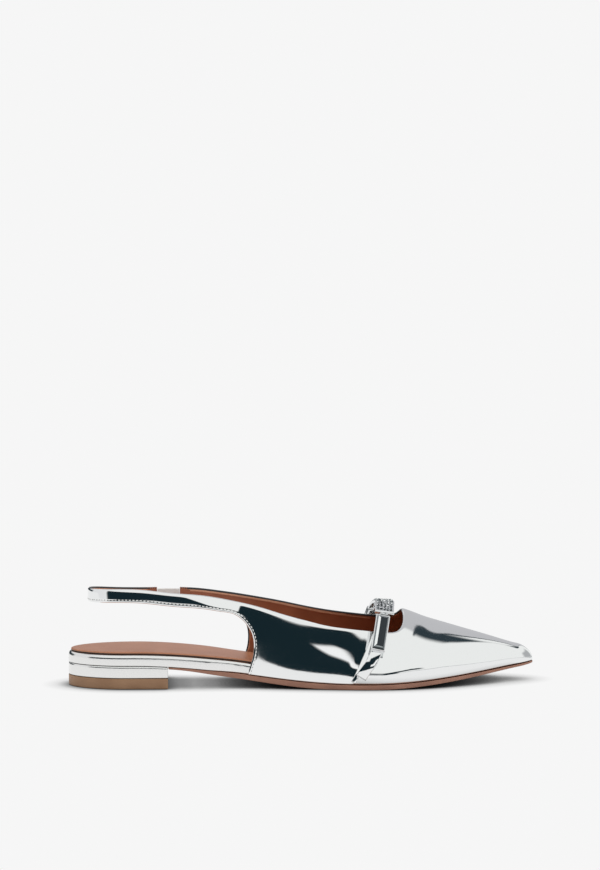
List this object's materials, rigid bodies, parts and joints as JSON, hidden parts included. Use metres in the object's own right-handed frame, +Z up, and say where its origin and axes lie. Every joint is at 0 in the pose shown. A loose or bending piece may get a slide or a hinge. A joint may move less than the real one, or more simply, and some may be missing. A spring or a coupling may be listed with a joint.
{
  "type": "sling back flat",
  "caption": "Pointed sling back flat with a low block heel, a strap over the throat and an elastic in the sling; the right shoe of a pair.",
  "frame": {"origin": "centre of the heel's bearing face, on the floor", "axes": "+X toward the toe, +Y toward the medial (inner) side, +Z up"},
  "size_m": [0.2717, 0.0823, 0.0572],
  "materials": {
    "outsole": "smooth tan sole edge, matte underside",
    "top_lift": "smooth tan heel lift",
    "heel_block": "mirror-gloss silver film on imitation leather",
    "midsole": "mirror-gloss silver film on imitation leather, wrapped round a board",
    "insole": "smooth tan sock lining, satin",
    "upper": "mirror-gloss silver film outside, smooth tan lining inside",
    "sling_elastic": "ribbed pale grey elastic",
    "ornament_strap": "mirror-gloss silver film, folded edges",
    "setting": "polished silver-coloured metal",
    "crystal": "clear step-cut and round glass stones with a foil back"
  },
  "bodies": {
    "root": {"outsole": "outsole", "top_lift": "top_lift", "heel_block": "heel_block", "midsole": "midsole", "insole": "insole", "upper": "upper", "sling_elastic": "sling_elastic", "ornament_strap": "ornament_strap", "lateral_bar_setting": "setting", "medial_bar_setting": "setting", "pave_setting": "setting", "lateral_bar_crystal": "crystal", "medial_bar_crystal": "crystal", "rhinestones": "crystal"}
  },
  "joints": []
}
